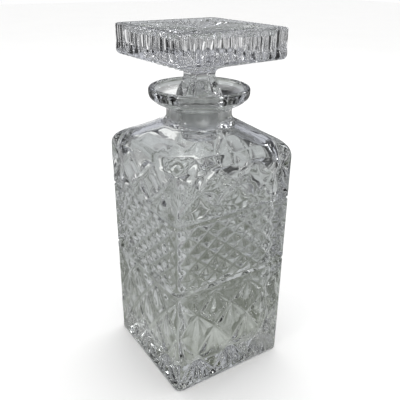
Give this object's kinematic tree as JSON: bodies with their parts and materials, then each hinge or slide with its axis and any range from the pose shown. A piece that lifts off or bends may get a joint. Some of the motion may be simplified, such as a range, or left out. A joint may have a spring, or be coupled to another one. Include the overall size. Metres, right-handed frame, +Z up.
{
  "type": "square glass decanter",
  "caption": "Square pressed-glass drinks decanter with diamond-cut bands, a flared pouring rim and a lift-out square star-topped stopper.",
  "frame": {"origin": "middle of the flat base, on the surface the decanter stands on", "axes": "+Z up along the neck and the stopper's pull; +X and +Y square to two of the flat faces"},
  "size_m": [0.09, 0.09, 0.2352],
  "materials": {
    "body_glass": "clear pressed glass, fire polished",
    "stopper_glass": "clear pressed glass, plug ground"
  },
  "bodies": {
    "decanter": {"decanter_body": "body_glass"},
    "stopper": {"stopper": "stopper_glass"}
  },
  "joints": [
    {"name": "stopper_lift", "type": "slide", "parent": "decanter", "child": "stopper", "axis": [0, 0, 1], "range_m": [0, 0.06]}
  ]
}
